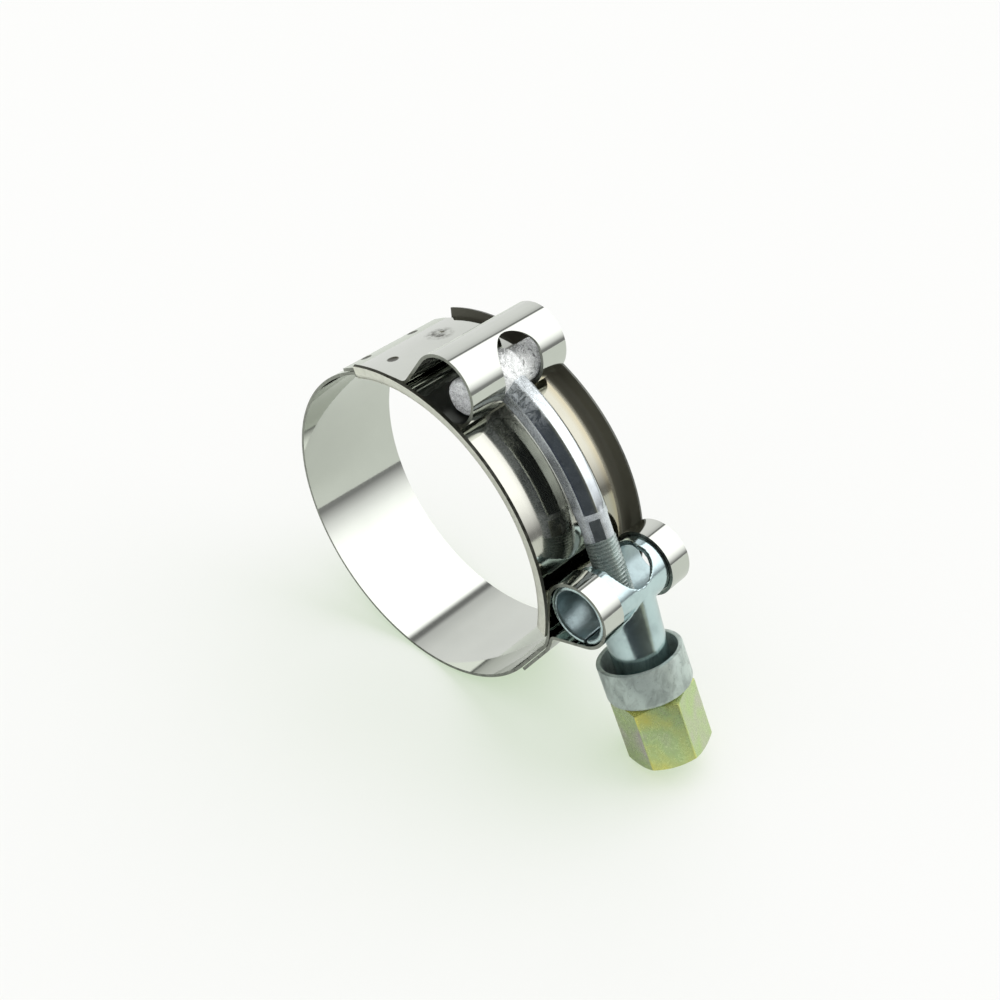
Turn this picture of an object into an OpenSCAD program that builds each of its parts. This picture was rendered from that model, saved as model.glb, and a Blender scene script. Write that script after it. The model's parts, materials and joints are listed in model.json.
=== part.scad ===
// T-bolt clamp for a hose or pipe: folded band, inner bridge, curved T-bolt, trunnion, cup and nut.
// The ring lies in the XZ plane with its axis along Y. The origin is the centre of the clamped bore.
// All sizes are in millimetres and all angles in degrees.

// Node to build

/* [Ring] */
// Radius of the bore that the clamp holds
bore_radius = 32.43; // [28:0.01:40]
// Direction of the middle of the bridge, from +X towards +Z
bridge_middle = 57.5; // [52:0.5:62]
// Half of the angle that the bridge spans
bridge_half_span = 60.5; // [54:0.5:64]

/* [Band] */
// Width of the strip
band_width = 24; // [20:0.5:28]
// Thickness of the strip
band_thickness = 0.65; // [0.4:0.05:0.9]
// Gap between a welded tail and the band below it
tail_gap = 0.12; // [0.05:0.01:0.3]
// Direction of the T-bolt loop's centre
bolt_loop_angle = 76.7; // [74:0.1:80]
// Distance of the T-bolt loop's centre from the arc's centre
bolt_loop_distance = 38.3; // [37:0.1:39]
// Radius of the T-bolt loop at mid thickness
bolt_loop_radius = 6.75; // [6:0.05:7.5]
// Radius of the tight bend below the T-head
bolt_loop_bend = 4; // [3.6:0.1:4.4]
// Radius of the outward bend where the T-bolt loop's tail starts
bolt_tail_bend = 2.5; // [1.5:0.1:3.5]
// Direction in which the bolt loop's tail leaves its round part, in degrees
bolt_tail_leave = 148; // [144:0.5:156]
// Direction of the end of the T-bolt loop's tail
bolt_tail_end = 121.7; // [112:0.1:130]
// Width of the hole in the bolt loop
shank_hole_width = 9.8; // [9:0.1:10.4]
// Distance of that hole from the band's middle, to the far side
shank_hole_offset = 0.9; // [0:0.1:1.1]
// Angle that the trunnion loop's tail reaches past the start of the straight
pin_tail_wrap = 1; // [0.5:0.5:10]
// Radius of the bend where the band turns up to the trunnion loop
pin_band_bend = 8; // [5:0.5:12]
// Radius of the bend where the trunnion loop's tail starts
pin_tail_bend = 1.6; // [1:0.1:3]
// Direction of the straight leg under the trunnion loop
pin_leg_heading = 202; // [197:0.5:207]
// Width of the cut-out between the trunnion loop's ears
ear_gap = 14; // [12.5:0.1:16]
// Diameter of a spot weld's dimple
weld_diameter = 2.4; // [1.5:0.1:3.5]
// Depth of a spot weld's dimple
weld_depth = 0.15; // [0.05:0.01:0.3]
// Distance between the two spot welds of a pair
weld_spacing = 12; // [9:0.5:15]
// Distance of a pair's middle from the band's, to the near side
weld_offset = 1.1; // [0:0.1:2]

/* [Bridge] */
// Thickness of the bridge's sheet
bridge_thickness = 0.6; // [0.4:0.05:0.9]
// Radius of the bend between the channel and a lip
lip_bend = 2; // [1.4:0.1:3]
// Angle of the lips against the channel
lip_angle = 74; // [60:1:80]
// Straight length of a lip beyond its bend
lip_length = 1.8; // [0.8:0.1:3]
// Angle by which the near lip stops short of the bridge's upper end, in degrees
near_lip_trim = 5; // [0:0.5:12]
// Angle by which the far lip stops short of that end, in degrees
far_lip_trim = 4; // [0:0.5:12]

/* [T-bolt] */
// Nominal diameter of the thread
thread_diameter = 6; // [5:0.1:6.4]
// Pitch of the thread
thread_pitch = 0.75; // [0.5:0.05:1]
// Diameter of the T-head
head_diameter = 7; // [6.6:0.1:7.4]
// Length of the T-head along the ring's axis
head_length = 20; // [16:0.5:23]
// Diameter of the thick root between head and shank
root_diameter = 8.2; // [7.6:0.1:8.4]
// Length of that root along the head
root_length = 6.4; // [5.6:0.1:6.8]
// Distance of that root's middle from the head's, away from the ring
root_rise = 1; // [0.9:0.1:1.4]
// Radius of the shank's curve, about the arc's centre
shank_curve = 37.4; // [36.8:0.1:38]
// Width of the shank across its rounded corners
shank_width = 6.3; // [6.1:0.1:6.6]
// Height of the shank across its flats
shank_height = 5.9; // [5.4:0.1:6]
// Direction where the shank turns straight
shank_turn = 27.5; // [26:0.1:29]
// Width of the square neck across its flats
neck_width = 5.3; // [4.8:0.1:5.6]
// Length of the straight part from the curve to the end of the thread
straight_length = 50.4; // [49:0.1:51]

/* [Trunnion] */
// Distance of the barrel's axis from the arc's centre
barrel_distance = 41.2; // [41:0.1:41.8]
// Direction of the barrel's axis
barrel_angle = 6.8; // [6:0.1:8]
// Outer diameter of the barrel
barrel_diameter = 12; // [11.4:0.1:12.4]
// Wall of the barrel
barrel_wall = 1; // [0.7:0.05:1.4]
// Distance of the barrel's ends inside the edges of the band
barrel_inset = 0.3; // [0:0.1:2]
// Radial running clearance between the barrel and its loop
barrel_clearance = 0.08; // [0.04:0.01:0.1]
// Diameter of the hole where the bolt enters the barrel
entry_diameter = 9.3; // [9:0.1:9.6]
// Diameter of the stem at its end
stem_diameter = 10.7; // [10.2:0.1:11.2]
// Diameter of the stem's flare at the barrel
stem_flare = 11.6; // [11:0.1:12]
// Bore of the stem
stem_bore = 9; // [8.6:0.1:9.4]
// Length of the stem from the barrel's axis to its end
stem_length = 20.6; // [18:0.1:22]

/* [Cup and nut] */
// Outer diameter of the cup
cup_diameter = 16.8; // [15.6:0.1:18]
// Wall of the cup
cup_wall = 0.95; // [0.7:0.05:1.2]
// Height of the cup
cup_height = 7.8; // [6.4:0.1:9]
// Thickness of the cup's floor
cup_floor = 1.2; // [0.8:0.1:2]
// Gap between the stem's end and the cup's floor
stem_gap = 0.8; // [0.6:0.1:1.5]
// Distance across the nut's flats
nut_flats = 14.4; // [13:0.1:16]
// Height of the nut
nut_height = 13.4; // [12:0.1:15]
// Turn of the nut about the bolt, from a corner at the ring's side
nut_turn = 14; // [0:1:20]
// Radial clearance of the nut's bore over the thread
thread_clearance = 0.06; // [0.03:0.01:0.1]

/* [Hidden] */
$fn = 144;
// Gap where two pieces rest on each other, gap between moving pieces, and overrun of a cut
seat = 0.02;
play = 0.3;
over = 1;
// Every second stretch of a strip is a hair thicker and laps its neighbours, so that they fuse
lap = 0.04;
joined = band_thickness + 0.02;

function polar(r, a) = [r * cos(a), r * sin(a)];
function angle_of(v) = atan2(v[1], v[0]);
function corner(a, b, c) = acos((a * a + b * b - c * c) / (2 * a * b));

// The bridge lies on the bore, and the band's arc is set off so that it covers the bridge's ends
lip_inset = 0.9;
lip_start = band_width / 2 - lip_inset;
lip_rise = lip_bend - sqrt(lip_bend * lip_bend - lip_inset * lip_inset);
bridge_inner = bore_radius + (joined - band_thickness) / 2;
bridge_outer = bridge_inner + bridge_thickness;
end_room = bore_radius - lip_rise - seat;
ring_offset = (bridge_outer * bridge_outer - end_room * end_room)
    / (2 * (end_room + bridge_outer * cos(bridge_half_span)));
bridge_centre = polar(-ring_offset, bridge_middle);

// Centre and radii of the band's arc
ring_centre = polar(ring_offset, bridge_middle);
band_inner = bore_radius + ring_offset;
band_mid = band_inner + band_thickness / 2;
band_outer = band_inner + band_thickness;
tail_mid = band_mid + band_thickness + tail_gap;
tail_outer = tail_mid + band_thickness / 2;
weld_angles = [106, 119.5];

// T-bolt loop: its bends are circles tangent to the loop and to the band or the tail
loop_a = polar(bolt_loop_distance, bolt_loop_angle);
bend_a = polar(band_mid + bolt_loop_bend, bolt_loop_angle
    - corner(bolt_loop_distance, band_mid + bolt_loop_bend, bolt_loop_radius - bolt_loop_bend));
tail_out = polar(1, bolt_tail_leave);
tail_run = polar(1, bolt_tail_leave + 90);
tail_base = loop_a + (bolt_loop_radius + bolt_tail_bend) * tail_out;
tail_dot = tail_base * tail_run;
tail_length = -tail_dot - sqrt(tail_dot * tail_dot - tail_base * tail_base + pow(tail_mid + bolt_tail_bend, 2));
tail_a = tail_base + tail_length * tail_run;
tail_from = loop_a + bolt_loop_radius * tail_out;

// Trunnion loop: the band leaves its arc on a tangent, bends up at a knee and wraps the barrel
loop_b = polar(barrel_distance, barrel_angle);
pin_radius = barrel_diameter / 2 + barrel_clearance + band_thickness / 2;
rise_heading = 91.5;
rise_dir = polar(1, rise_heading);
rise_point = loop_b + polar(pin_radius, rise_heading + 90);
knee_drop = 11.2;
knee = rise_point - knee_drop * rise_dir;
leave_angle = angle_of(knee) - acos(band_mid / norm(knee));
leave_dir = polar(1, leave_angle + 90);
knee_cut = pin_band_bend * tan((rise_heading - leave_angle - 90) / 2);
knee_start = knee - knee_cut * leave_dir;
knee_centre = knee_start - polar(pin_band_bend, leave_angle);
pin_step = polar(band_thickness + tail_gap, leave_angle);
leg_dir = polar(1, pin_leg_heading);
leg_start = loop_b + polar(pin_radius, pin_leg_heading + 90);
knee_tail = pin_band_bend + band_thickness + tail_gap;
leg_from_knee = leg_start + polar(pin_tail_bend, pin_leg_heading + 90) - knee_centre;
leg_dot = leg_from_knee * leg_dir;
leg_length = -leg_dot - sqrt(leg_dot * leg_dot - leg_from_knee * leg_from_knee
    + (knee_tail + pin_tail_bend) * (knee_tail + pin_tail_bend));
pin_bend = knee_centre + leg_from_knee + leg_length * leg_dir;
ear_to = 173;

// T-bolt: the head lies against the loop, the shank follows the ring and then runs straight
head_reach = bolt_loop_radius - band_thickness / 2 - head_diameter / 2 - play;
head_angle = bolt_loop_angle - corner(bolt_loop_distance, shank_curve, head_reach);
turn_point = polar(shank_curve, shank_turn);
bolt_heading = shank_turn - 90;
bolt_dir = polar(1, bolt_heading);
neck_end = 6.6;
neck_aim = 40;
neck_corner = shank_height / 2 - 0.1;
shoulder = 1.4;
head_rim = 0.5;
root_rim = 1.2;
slot_aim = 21;
slot_from = 76;
slot_top = (bolt_loop_radius + band_thickness / 2) * sin(slot_from - slot_aim);
slot_low = -5;
slot_bottom = -shank_height / 2 - 0.7;
slot_depth = 12;
thread_end = straight_length - neck_end + over;
thread_root = thread_diameter / 2 - 0.61 * thread_pitch;

// Trunnion: its stem leans so that its end is centred on the bolt
barrel_length = band_width - 2 * barrel_inset;
barrel_at = (loop_b - turn_point) * bolt_dir;
barrel_off = (loop_b - turn_point) * polar(1, shank_turn);
stem_lean = asin(barrel_off / stem_length);
stem_end = barrel_at + stem_length * cos(stem_lean);
seam_width = 0.5;
entry_swing = 36;

// Cup and nut follow the stem's end along the bolt
lean_drop = stem_diameter / 2 * sin(stem_lean);
cup_base = stem_end + lean_drop + stem_gap + cup_floor;
cup_edge = 1;
nut_top = cup_base + play;
nut_corner = nut_flats / 2 / cos(30);
nut_bore = thread_diameter / 2 + thread_clearance;
nut_face = nut_flats / 2 * 0.97;
countersink = 0.6;

// The whole part is turned so that the band and the nut's lowest corner stand on one floor
nut_low = turn_point + (nut_top + nut_height) * bolt_dir - polar(nut_face, shank_turn);
rest_turn = acos(band_outer / norm(nut_low)) - 90 - angle_of(nut_low);

module ring_plane() {
    rotate([90, 0, 0])
        rotate([0, 0, rest_turn])
            translate([ring_centre[0], ring_centre[1], 0])
                children();
}

// Strip bent about a centre, from one direction to another
module bent(centre, radius, from, to, gauge = band_thickness) {
    extra = gauge > band_thickness ? lap : 0;
    turn = extra / radius * 180 / PI;
    translate([centre[0], centre[1], 0])
        rotate([0, 0, from - turn])
            rotate_extrude(angle = to - from + 2 * turn)
                translate([radius - gauge / 2, extra / 2 - band_width / 2])
                    square([gauge, band_width - extra]);
}

// Straight strip between two points of its middle line
module straight(p, q, gauge = band_thickness) {
    extra = gauge > band_thickness ? lap : 0;
    translate([p[0], p[1], 0])
        rotate([0, 0, angle_of(q - p)])
            translate([-extra, -gauge / 2, extra / 2 - band_width / 2])
                cube([norm(q - p) + 2 * extra, gauge, band_width - extra]);
}

// Cylinder that points away from the ring's centre, between two radii
module radial(angle, side, r_from, r_to, diameter) {
    rotate([0, 0, angle])
        translate([r_from, 0, side])
            rotate([0, 90, 0])
                cylinder(h = r_to - r_from, d = diameter);
}

module bolt_loop() {
    bent(bend_a, bolt_loop_bend, angle_of(bend_a) + 180, angle_of(bend_a - loop_a) + 360, joined);
    bent(loop_a, bolt_loop_radius, angle_of(bend_a - loop_a), bolt_tail_leave);
    straight(tail_from, tail_from + tail_length * tail_run, joined);
    bent(tail_a, bolt_tail_bend, angle_of(-tail_a), bolt_tail_leave - 180);
    bent([0, 0], tail_mid, angle_of(tail_a), bolt_tail_end, joined);
}

module pin_loop() {
    straight(polar(band_mid, leave_angle), knee_start, joined);
    bent(knee_centre, pin_band_bend, leave_angle, rise_heading - 90);
    straight(knee + knee_cut * rise_dir, rise_point, joined);
    bent(loop_b, pin_radius, pin_leg_heading - 270, rise_heading + 90);
    straight(leg_start, leg_start + leg_length * leg_dir, joined);
    bent(pin_bend, pin_tail_bend, pin_leg_heading - 90, angle_of(knee_centre - pin_bend));
    bent(knee_centre, knee_tail, leave_angle, angle_of(pin_bend - knee_centre), joined);
    straight(polar(tail_mid, leave_angle), knee_start + pin_step);
    bent([0, 0], tail_mid, leave_angle - pin_tail_wrap, leave_angle, joined);
}

// Hole for the shank: round at its upper end, straight down to the ring
module shank_slot() {
    translate([loop_a[0], loop_a[1], -shank_hole_offset])
        rotate([0, 0, slot_aim])
            rotate([0, 90, 0]) {
                translate([0, slot_top - shank_hole_width / 2, 0])
                    cylinder(h = slot_depth, d = shank_hole_width);
                translate([-shank_hole_width / 2, slot_low, 0])
                    cube([shank_hole_width, slot_top - shank_hole_width / 2 - slot_low, slot_depth]);
            }
    rotate([0, 0, head_angle])
        translate([shank_curve + slot_bottom, -slot_depth, -shank_hole_offset - shank_hole_width / 2 - lap])
            cube([shank_height, slot_depth, shank_hole_width + 2 * lap]);
}

// Cut-out that leaves the two ears, from the rise round and along the straight leg
module ear_slot() {
    translate([loop_b[0], loop_b[1], 0])
        rotate([0, 0, pin_leg_heading - 270])
            rotate_extrude(angle = ear_to - pin_leg_heading + 270)
                translate([pin_radius - over, -ear_gap / 2])
                    square([2 * over, ear_gap]);
    translate([leg_start[0], leg_start[1], 0])
        rotate([0, 0, pin_leg_heading])
            translate([-over, -over, -ear_gap / 2])
                cube([stem_flare / 2 + over + 2 * play, 2 * over, ear_gap]);
}

// Cylinders at the spot welds, two at each of the welds' directions
module welds(r_from, r_to) {
    for (angle = weld_angles)
        for (side = [-weld_spacing / 2, weld_spacing / 2])
            radial(angle, weld_offset + side, r_from, r_to, weld_diameter);
}

module band() {
    color("#c9cdca")
        ring_plane()
            difference() {
                union() {
                    bent([0, 0], band_mid, angle_of(bend_a), leave_angle + 360);
                    bolt_loop();
                    pin_loop();
                    welds(tail_outer - 1.5 * band_thickness, tail_mid);
                }
                shank_slot();
                ear_slot();
                welds(tail_outer - weld_depth, tail_outer + over);
            }
}

// Bend and straight edge of one lip, in the channel's section
module lip_section() {
    translate([bridge_outer + lip_bend, lip_start]) {
        intersection() {
            difference() {
                circle(r = lip_bend + bridge_thickness);
                circle(r = lip_bend);
            }
            polygon([[0, 0], polar(lip_bend * 4, 180), polar(lip_bend * 4, 180 - lip_angle / 2),
                     polar(lip_bend * 4, 180 - lip_angle)]);
        }
        rotate([0, 0, 180 - lip_angle])
            translate([lip_bend - (joined - band_thickness) / 2, -lip_length])
                square([bridge_thickness + joined - band_thickness, lip_length + lap]);
    }
}

module bridge() {
    color("#b9b8a2")
        ring_plane()
            translate([bridge_centre[0], bridge_centre[1], 0])
                rotate([0, 0, bridge_middle - bridge_half_span]) {
                    rotate_extrude(angle = 2 * bridge_half_span)
                        translate([bridge_inner - (joined - band_thickness) / 2, -lip_start - lap])
                            square([bridge_thickness + joined - band_thickness, 2 * (lip_start + lap)]);
                    rotate_extrude(angle = 2 * bridge_half_span - near_lip_trim)
                        lip_section();
                    rotate_extrude(angle = 2 * bridge_half_span - far_lip_trim)
                        mirror([0, 1])
                            lip_section();
                }
}

// Frame on the straight part of the bolt, with X along it and Y away from the ring
module bolt_line(at) {
    translate([turn_point[0], turn_point[1], 0])
        rotate([0, 0, bolt_heading])
            translate([at, 0, 0])
                children();
}

module rod(h, r1, r2) {
    rotate([0, 90, 0])
        cylinder(h = h, r1 = r1, r2 = r2);
}

module t_bolt() {
    color("#aebac2")
        ring_plane() {
            rotate([0, 0, head_angle])
                translate([shank_curve, 0, 0])
                    bar(head_diameter, head_length, head_rim);
            rotate([0, 0, head_angle])
                translate([shank_curve + root_rise, 0, 0])
                    bar(root_diameter, root_length, root_rim);
            rotate([0, 0, shank_turn])
                rotate_extrude(angle = head_angle - shank_turn)
                    translate([shank_curve, 0])
                        intersection() {
                            circle(d = shank_width);
                            rotate(30)
                                circle(r = shank_height / 2 / cos(30), $fn = 6);
                        }
            bolt_line(-lap)
                rod(shoulder, shank_height / 2 - lap, neck_width / 2 - 4 * lap);
            bolt_line(-shoulder)
                intersection() {
                    rod(shoulder + neck_end, neck_corner, neck_corner);
                    rotate([neck_aim, 0, 0])
                        translate([-over, -neck_width / 2, -neck_width / 2])
                            cube([shoulder + neck_end + 2 * over, neck_width, neck_width]);
                }
            bolt_line(neck_end - over)
                rotate([0, 90, 0])
                    rotate_extrude()
                        polygon([[0, 0], [thread_root, 0], [thread_diameter / 2, over],
                                 [thread_diameter / 2, thread_end - thread_pitch], [thread_root, thread_end],
                                 [0, thread_end]]);
        }
}

// Round bar along the ring's axis, with a chamfered rim at both ends
module bar(diameter, length, rim) {
    tip = length / 2;
    rotate_extrude()
        polygon([[0, -tip], [diameter / 2 - rim, -tip], [diameter / 2, rim - tip],
                 [diameter / 2, tip - rim], [diameter / 2 - rim, tip], [0, tip]]);
}

module trunnion() {
    color("#b7c4cb")
        ring_plane()
            translate([loop_b[0], loop_b[1], 0])
                rotate([0, 0, bolt_heading - stem_lean])
                    difference() {
                        union() {
                            cylinder(h = barrel_length, d = barrel_diameter, center = true);
                            rod(stem_length, stem_flare / 2, stem_diameter / 2);
                        }
                        cylinder(h = barrel_length + over, d = barrel_diameter - 2 * barrel_wall, center = true);
                        rod(stem_length + over, stem_bore / 2, stem_bore / 2);
                        entry_slot();
                        barrel_seam();
                    }
}

// Slot in the barrel for the bolt, longer on the side away from the ring
module entry_slot() {
    rotate([0, 0, 180])
        rod(barrel_diameter, entry_diameter / 2 + play, entry_diameter / 2 + play);
    rotate([0, 0, 180 - entry_swing]) {
        rod(barrel_diameter, entry_diameter / 2, entry_diameter / 2);
        rotate_extrude(angle = entry_swing)
            translate([barrel_diameter / 4, play - entry_diameter / 2])
                square([barrel_diameter / 2, entry_diameter - 2 * play]);
    }
}

// Slit where the barrel's rolled edges meet, at both ends on the stem's side
module barrel_seam() {
    for (side = [0, 1])
        mirror([0, 0, side])
            translate([0, -seam_width / 2, stem_flare / 2 + 0.6])
                cube([barrel_diameter, seam_width, barrel_length]);
}

module cup() {
    color("#a3a6a4")
        ring_plane()
            bolt_line(cup_base)
                rotate([0, -90, 0])
                    difference() {
                        union() {
                            cylinder(h = cup_edge, d1 = cup_diameter - 2 * cup_edge, d2 = cup_diameter);
                            translate([0, 0, cup_edge])
                                cylinder(h = cup_height - cup_edge, d = cup_diameter);
                        }
                        translate([0, 0, cup_floor])
                            cylinder(h = cup_height, d = cup_diameter - 2 * cup_wall);
                        translate([0, 0, -over])
                            cylinder(h = cup_height, d = thread_diameter + 2 * play);
                    }
}

module nut() {
    color("#b9b77a")
        ring_plane()
            bolt_line(nut_top)
                rotate([0, 90, 0])
                    difference() {
                        intersection() {
                            rotate([0, 0, 30 + nut_turn])
                                cylinder(h = nut_height, r = nut_corner, $fn = 6);
                            nut_rounding();
                        }
                        translate([0, 0, -over])
                            cylinder(h = nut_height + 2 * over, r = nut_bore);
                        translate([0, 0, nut_height - countersink])
                            cylinder(h = countersink + over, r1 = nut_bore, r2 = nut_bore + countersink + over);
                        translate([0, 0, -over])
                            cylinder(h = countersink + over, r1 = nut_bore + countersink + over, r2 = nut_bore);
                    }
}

// Cones that take the corners off both ends of the nut
module nut_rounding() {
    reach = nut_corner + over;
    rise = (reach - nut_face) * tan(30);
    rotate_extrude()
        polygon([[0, 0], [nut_face, 0], [reach, rise], [reach, nut_height - rise],
                 [nut_face, nut_height], [0, nut_height]]);
}

band();
bridge();
t_bolt();
trunnion();
cup();
nut();
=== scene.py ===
"""Studio scene of a T-bolt clamp: strip, bridge, bolt, sleeve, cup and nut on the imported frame."""

import json
import math

import bmesh
import bpy
from mathutils import Matrix, Vector, noise


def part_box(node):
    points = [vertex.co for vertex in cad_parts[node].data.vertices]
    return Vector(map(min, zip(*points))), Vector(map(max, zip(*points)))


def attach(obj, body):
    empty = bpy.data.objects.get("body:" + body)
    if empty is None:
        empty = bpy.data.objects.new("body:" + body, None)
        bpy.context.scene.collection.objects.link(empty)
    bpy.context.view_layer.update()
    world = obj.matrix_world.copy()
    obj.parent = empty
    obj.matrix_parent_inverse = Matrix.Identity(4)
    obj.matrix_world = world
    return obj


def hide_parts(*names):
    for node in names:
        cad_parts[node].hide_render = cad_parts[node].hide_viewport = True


bl_info = {
    "name": "T-bolt clamp",
    "version": (1, 0, 0),
    "blender": (4, 5, 0),
    "location": "View3D > Sidebar > Clamp",
    "description": "Models the visible pieces of a T-bolt clamp and the studio around it",
    "category": "Object",
}

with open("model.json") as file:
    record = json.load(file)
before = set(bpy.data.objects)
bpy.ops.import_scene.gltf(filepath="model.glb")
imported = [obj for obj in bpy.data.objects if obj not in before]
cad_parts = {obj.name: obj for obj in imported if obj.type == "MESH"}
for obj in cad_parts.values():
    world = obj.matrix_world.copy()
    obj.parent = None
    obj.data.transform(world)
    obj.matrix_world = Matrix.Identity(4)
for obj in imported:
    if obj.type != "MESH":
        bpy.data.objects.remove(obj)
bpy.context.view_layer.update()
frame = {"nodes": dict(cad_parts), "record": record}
FLOOR_Z = min(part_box(node)[0].z for node in frame["nodes"])

# Shapes are drawn in millimetres in the plane of the ring, then placed in the frame in metres.
MM = 0.001
RING_CENTRE = Vector((0.305178, 0.479033))
REST_TURN = -2.692341

# Strip
BAND_INNER = 32.998
TAIL_GAP = 0.12
BOLT_LOOP_ANGLE = 76.7
BOLT_LOOP_DISTANCE = 38.3
BOLT_LOOP_RADIUS = 6.75
BOLT_LOOP_BEND = 4.0
BOLT_TAIL_BEND = 2.5
BOLT_TAIL_LEAVE = 148.0
BOLT_TAIL_END = 121.7
# Keyhole for the shank: its width, shift, aim and upper end on the loop, then its cutters' sizes
HOLE_WIDTH = 9.8
HOLE_OFFSET = -0.9
HOLE_AIM = 21.0
HOLE_FROM = 76.0
HOLE_LOW = -5.0
HOLE_DEPTH = 12.0
HOLE_ROOM = 0.7
FOOT_EASE = 0.08
# Sleeve's loop: its bends, headings and the knee under it
PIN_BAND_BEND = 8.0
PIN_TAIL_BEND = 1.6
PIN_LEG_HEADING = 202.0
PIN_TAIL_WRAP = 1.0
RISE_HEADING = 91.5
KNEE_DROP = 11.2
EAR_TO = 173.0
EAR_LEG_ROOM = 0.6
# Spot welds: their places, and the radii at which a heat mark starts to fade and ends
WELD_ANGLES = (106.0, 119.5)
WELD_SIDES = (-4.9, 7.1)
WELD_HEAT = (1.0, 1.25)
WELD_SMUDGE = (1.4, 3.2)
# Keeps the bent strip's skin inside the solid's box
GAUGE_TRIM = 0.008

# Bridge
BRIDGE_MIDDLE = 57.5
BRIDGE_HALF_SPAN = 60.5
BRIDGE_INNER = 32.44
BRIDGE_OFFSET = 0.567984
LIP_START = 11.1
LIP_BEND = 2.0
LIP_ANGLE = 74.0
LIP_LENGTH = 1.8
# Degrees cut off the lips' upper ends, at the foot and at the edge
NEAR_LIP_TRIM = (2.4, 8.0)
FAR_LIP_TRIM = (4.0, 4.0)
# Where its finishes, painted shade and painted highlight change, along the ring's axis
NEAR_LIP_FROM = (-11.4, -12.4)
SHADED_FROM = (-9.2, -7.4)
SHADED_TO = (1.0, 3.0)
FAR_SIDE_SHADE_FROM = (3.0, 6.0)
STRAW_FROM = (9.2, 10.4)
FAR_LIP_FROM = (10.6, 11.6)
# Painted shade that darkens the far side of the channel
FAR_SIDE_SHADE_COLOUR = (0.7, 0.68, 0.62)

# Bolt
SHANK_CURVE = 37.4
SHANK_TURN = 27.5
HEAD_ANGLE = 72.966
HEAD_LENGTH = 20.0
ROOT_RADIUS = 4.1
ROOT_LENGTH = 6.4
ROOT_RISE = 1.0
ROOT_SHIFT = 0.8
HEAD_EDGE = 0.9
ROOT_EDGE = 1.4
SHANK_FLAT = 2.95
SHANK_ROUND = 3.1
SHANK_SIDES = 8
NECK_FLAT = 2.78
NECK_ROUND = 3.0
NECK_AIM = 40.0
NECK_SIDES = 4
COLLAR_RADIUS = 3.0
COLLAR_START = -0.5
COLLAR_RISE = 0.2
NECK_START = 0.75
NECK_END = 5.0
NECK_STEP = 0.1
# The bolt's core ends inside the thread: depth under the crest and length past the neck
CORE_DEPTHS = (0.4, 0.5)
CORE_RUN = 0.5
THREAD_LAST = 50.4
THREAD_RUN_IN = 0.4
# Depth and profile of the thread as shares of the pitch
THREAD_DEPTH = 0.61
THREAD_CREST = (0.42, 0.54)
THREAD_FOOT = 0.96
# Directions round the shank between which it is matt, and the play at the neck's corners
MATT_SIDES = (69, 111)
MATT_PLAY = 0.04

# Sleeve, cup and nut
BARREL_DISTANCE = 41.2
BARREL_ANGLE = 6.8
BARREL_RADIUS = 6.0
BARREL_WALL = 1.0
BARREL_CLEARANCE = 0.08
# Which faces of the barrel are its hollow and its punched walls: play, and how they lean
HOLLOW_PLAY = 0.15
HOLLOW_LEAN = -0.4
PUNCHED_PLAY = 0.1
PUNCHED_LEAN = 0.6
END_LEAN = 0.97
STEM_FLARE = 11.6
SLEEVE_SKIN = 0.21
CUP_BASE = 37.4277
CUP_RADIUS = 8.4
CUP_WALL = 0.95
CUP_HEIGHT = 7.8
CUP_FLOOR = 1.2
CUP_HOLE = 3.3
CUP_EDGE = 1.1
# Rounding of its rim and of the corner inside: length and the place half way round
RIM_ROUND = (0.2, 0.06)
FLOOR_ROUND = (0.5, 0.15)
NUT_TURN = 14.0
NUT_EDGE = 0.3
# Yellow (0) to rose (1) on the nut's sides in turn, and on its edges
FILM_OF_FACES = (0.28, 0.6, 0.35, 0.5, 0.3, 0.4)
FILM_OF_EDGES = 0.22

# Studio: edges of the paper in metres, how it looks to the camera, and light on matt surfaces
FLOOR_TURN = 43.5
FLOOR_FRONT = -0.098
FLOOR_BACK = 0.75
FLOOR_SIDE = 0.75
PAPER_SHARE = (0.38, 0.295, 0.43)
PAPER_GLOW = (0.41, 0.54, 0.33)
ROOM_FILL = 1.0
BACKDROP = (0.99, 1.0, 0.99)
# Brightness of the walls by direction round the ring's axis, and of the room in front by depth
WALL_STOPS = (
    (-180, 0.9), (-60, 1.0), (-40, 0.92), (-28, 0.7), (-25, 0.2), (-22, 0.25), (-19, 1.8),
    (60, 1.8), (70, 1.5), (80, 1.0), (86, 0.6), (90, 0.3), (110, 0.25), (114, 0.9),
)
FRONT_STOPS = (
    (-1.0, (0.035, 0.042, 0.055, 1)),
    (-0.5, (0.06, 0.065, 0.062, 1)),
    (0.1, (0.11, 0.11, 0.09, 1)),
    (0.26, (0.42, 0.40, 0.29, 1)),
    (0.42, (0.42, 0.40, 0.29, 0)),
)
# Camera: its eye in millimetres, its axes, and its sensor and lens
CAMERA_EYE = (144.1607, -136.1815, 158.0064)
CAMERA_RIGHT = (0.72935, 0.68379, -0.02194)
CAMERA_UP = (-0.41348, 0.46611, 0.78216)
CAMERA_BACK = (0.54506, -0.5614, 0.62269)
CAMERA_SENSOR = 36
CAMERA_LENS = 45.54
CAMERA_NEAR = 0.005


def polar(radius, degrees):
    """Point of the ring's plane at a radius and direction."""
    return Vector((radius * math.cos(math.radians(degrees)), radius * math.sin(math.radians(degrees))))


def angle_of(v):
    """Direction of a point of the ring's plane, in degrees."""
    return math.degrees(math.atan2(v.y, v.x))


def corner(a, b, c):
    """Angle between sides a and b of a triangle, in degrees."""
    return math.degrees(math.acos((a * a + b * b - c * c) / (2 * a * b)))


def turned(degrees):
    """Turn in the ring's plane."""
    return Matrix.Rotation(math.radians(degrees), 4, "Z")


def moved(point, z=0.0):
    """Shift in the ring's plane, and along its axis."""
    return Matrix.Translation((point.x, point.y, z))


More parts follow.
